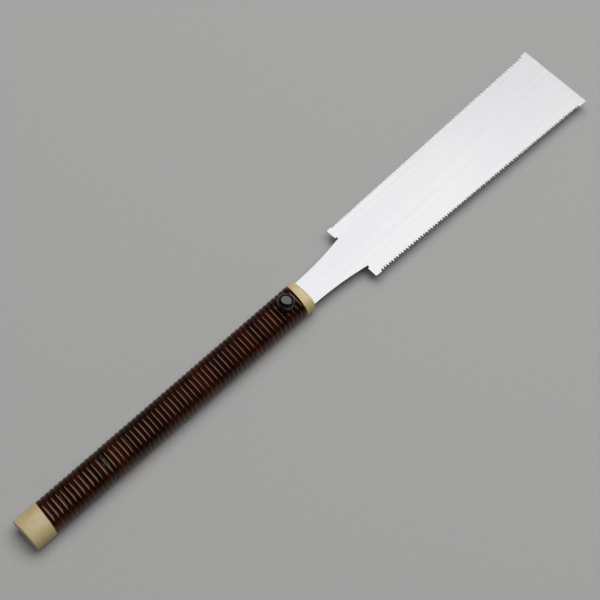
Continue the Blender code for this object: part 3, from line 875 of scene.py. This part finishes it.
def softbox(name, direction, distance, size, radiance, reflected=True):
    """A soft light that shines on the saw with this brightness at every point of its face."""
    lamp = bpy.data.lights.new(name, "AREA")
    lamp.shape = "ELLIPSE"
    lamp.size, lamp.size_y = size
    area = math.pi / 4 * size[0] * size[1]
    lamp.energy = radiance * math.pi * area
    made = bpy.data.objects.new(name, lamp)
    made.visible_glossy = reflected
    made.location = direction.normalized() * distance
    pointed_at(made, Vector((0, 0, 0)))
    bpy.context.scene.collection.objects.link(made)


def surroundings(overhead, horizon):
    """A studio that is dark overhead and pale towards the horizon, as grey levels."""
    world = bpy.data.worlds.new("studio")
    world.use_nodes = True
    tree = world.node_tree
    direction = tree.nodes.new("ShaderNodeTexCoord").outputs["Generated"]
    split = tree.nodes.new("ShaderNodeSeparateXYZ")
    fade = tree.nodes.new("ShaderNodeMapRange")
    fade_start, fade_end = 0.05, 0.62  # sines of the elevations between which the sky darkens
    fade.inputs["From Min"].default_value = fade_start
    fade.inputs["From Max"].default_value = fade_end
    fade.inputs["To Min"].default_value = horizon
    fade.inputs["To Max"].default_value = overhead
    fade.interpolation_type = "SMOOTHSTEP"
    tree.links.new(direction, split.inputs["Vector"])
    tree.links.new(split.outputs["Z"], fade.inputs["Value"])
    tree.links.new(fade.outputs["Result"], tree.nodes["Background"].inputs["Color"])
    bpy.context.scene.world = world


def floor():
    made = Recipe("studio_floor")
    made.set("Roughness", 0.85)
    paper = made.noise((350, 350, 350), 3)
    made.into(made.ramp(paper, (0.3, (0.385, 0.383, 0.378)), (0.7, (0.41, 0.408, 0.403))), "Base Color")
    half_size, steps = 3.0, 2
    points = []
    for i in range(steps + 1):
        for k in range(steps + 1):
            points.append((half_size * (2 * i / steps - 1), half_size * (2 * k / steps - 1), 0))
    wide = steps + 1
    faces = []
    for i in range(steps):
        for k in range(steps):
            faces.append((i * wide + k, (i + 1) * wide + k, (i + 1) * wide + k + 1, i * wide + k + 1))
    made_floor = mesh_object("studio_floor", points, faces, made.material)
    for polygon in made_floor.data.polygons:
        if polygon.normal.z < 0:
            polygon.flip()


def finish_cad_nodes(finishes):
    """Gives every CAD node a material of its kind."""
    slots = {
        "holder_": "zinc",
        "guide_pin": "zinc",
        "clamp_nut": "zinc",
        "clamp_stud": "zinc",
        "clamp_washer": "zinc",
        "clamp_knob": "resin",
        "handle_core": "wood",
        "knob_bush": "brass",
        "butt_cap": "ivory",
        # The ferrule's lighter resin is a painted highlight on the cap's resin, not a paler resin
        "ferrule": "pale",
        "cane_wrap": "cane",
        "saw_blade": "steel",
    }
    for name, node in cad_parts.items():
        kind = next(slots[start] for start in slots if name.startswith(start))
        node.data.materials.clear()
        node.data.materials.append(finishes[kind])


def build():
    finishes = {
        "ivory": ivory_resin("ivory_resin_grained", 1.0),
        # The ferrule's finish is the cap's resin painted 1.19 times lighter, a painted highlight for the
        # light it catches nearer the lamp
        "pale": ivory_resin("ivory_resin_painted_highlight", 1.19),
        "cane": lacquered_cane(),
        "wood": core_wood(),
        "steel": brushed_steel(),
        "zinc": zinc_steel(),
        "brass": turned_brass(),
        "resin": black_resin(),
    }
    camera()
    finish_cad_nodes(finishes)
    butt_cap(finishes["ivory"])
    # Its finish is the cap's resin painted lighter, a painted highlight
    ferrule(finishes["pale"])
    cane_winding(finishes["cane"])
    saw_blade(finishes["steel"])
    clamp_knob(finishes["resin"])
    washer(finishes["zinc"])
    knob_bush(finishes["brass"])
    threaded_stud(finishes["zinc"])
    floor()
    softbox("main_softbox", Vector((0.36, 0.13, 0.93)), 4.0, (6.2, 3.4), 2.6)
    softbox("overhead_fill", Vector((0, 0, 1)), 2.6, (3.0, 3.0), 1.1, reflected=False)
    surroundings(0.025, 0.22)
    bpy.context.scene.view_settings.view_transform = "Standard"


build()
